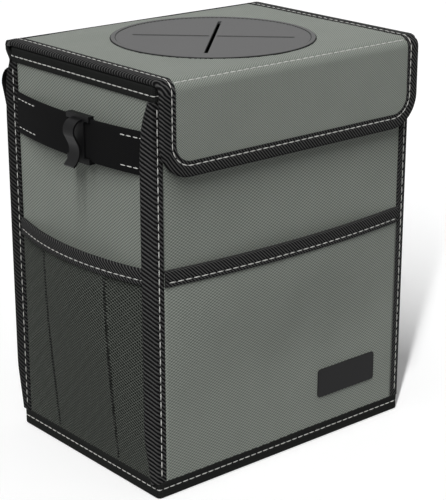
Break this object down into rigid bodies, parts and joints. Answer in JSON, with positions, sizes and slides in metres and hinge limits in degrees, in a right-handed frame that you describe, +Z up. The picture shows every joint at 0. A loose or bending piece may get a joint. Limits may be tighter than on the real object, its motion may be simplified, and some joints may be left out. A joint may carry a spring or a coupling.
{
  "type": "car trash bin",
  "caption": "Boarded fabric car trash bin with a hinged lid, soft slit disc, front flap, front and mesh side pockets, bag hooks on side straps, and hanging straps behind.",
  "frame": {"origin": "centre of the underside of the fabric box, without its straps and hooks", "axes": "+Z up, -Y the front with the flap and the front pocket, +X to the right seen from the front"},
  "size_m": [0.2446, 0.1818, 0.268],
  "materials": {
    "body_fabric": "coated oxford weave, matt",
    "lid_fabric": "coated oxford weave, matt",
    "base_fabric": "black woven fabric",
    "board": "stiff sheet, matt",
    "liner_film": "waterproof film, soft sheen",
    "edge_tape": "diagonally ribbed black tape",
    "smooth_tape": "smooth black tape",
    "mesh": "dark fine mesh",
    "webbing": "smooth black webbing",
    "closure": "hook-and-loop strip",
    "patch_rubber": "matt black rubber, bare",
    "disc_rubber": "soft matt grey rubber",
    "hook_plastic": "moulded black plastic"
  },
  "bodies": {
    "bin": {"front_panel": "body_fabric", "back_panel": "body_fabric", "left_panel": "body_fabric", "right_panel": "body_fabric", "base_panel": "base_fabric", "front_board": "board", "back_board": "board", "left_board": "board", "right_board": "board", "base_board": "board", "liner": "liner_film", "front_left_tape": "edge_tape", "front_right_tape": "edge_tape", "back_left_tape": "edge_tape", "back_right_tape": "edge_tape", "base_tape": "smooth_tape", "rim_tape": "smooth_tape", "front_pocket": "body_fabric", "front_pocket_tape": "edge_tape", "left_mesh_pocket": "mesh", "left_pocket_tape": "edge_tape", "right_mesh_pocket": "mesh", "right_pocket_tape": "edge_tape", "bare_patch": "patch_rubber", "closure_loop_strip": "closure", "left_side_strap": "webbing", "right_side_strap": "webbing", "left_hanging_strap": "webbing", "right_hanging_strap": "webbing", "buckle_socket": "hook_plastic", "buckle_plug": "hook_plastic"},
    "lid": {"lid_panel": "lid_fabric", "lid_board": "board", "lid_lining": "liner_film", "lid_tape": "edge_tape", "slit_disc": "disc_rubber"},
    "flap": {"flap_panel": "body_fabric", "flap_board": "board", "flap_lining": "liner_film", "flap_tape": "edge_tape", "closure_hook_strip": "closure"},
    "left_hook": {"left_bag_hook": "hook_plastic"},
    "right_hook": {"right_bag_hook": "hook_plastic"}
  },
  "joints": [
    {"name": "lid_hinge", "type": "hinge", "parent": "bin", "child": "lid", "pos_m": [0, 0.0787, 0.26315], "axis": [-1, 0, 0], "range_deg": [0, 180]},
    {"name": "flap_fold", "type": "hinge", "parent": "lid", "child": "flap", "pos_m": [0, -0.08155, 0.26419], "axis": [-1, 0, 0], "range_deg": [0, 170]},
    {"name": "left_hook_slide", "type": "hinge", "parent": "bin", "child": "left_hook", "pos_m": [0.21422, 0, 0.2215], "axis": [0, 0, 1], "range_deg": [-7.3, 3.7]},
    {"name": "right_hook_slide", "type": "hinge", "parent": "bin", "child": "right_hook", "pos_m": [-0.21422, 0, 0.2215], "axis": [0, 0, 1], "range_deg": [-3.7, 7.3]}
  ]
}
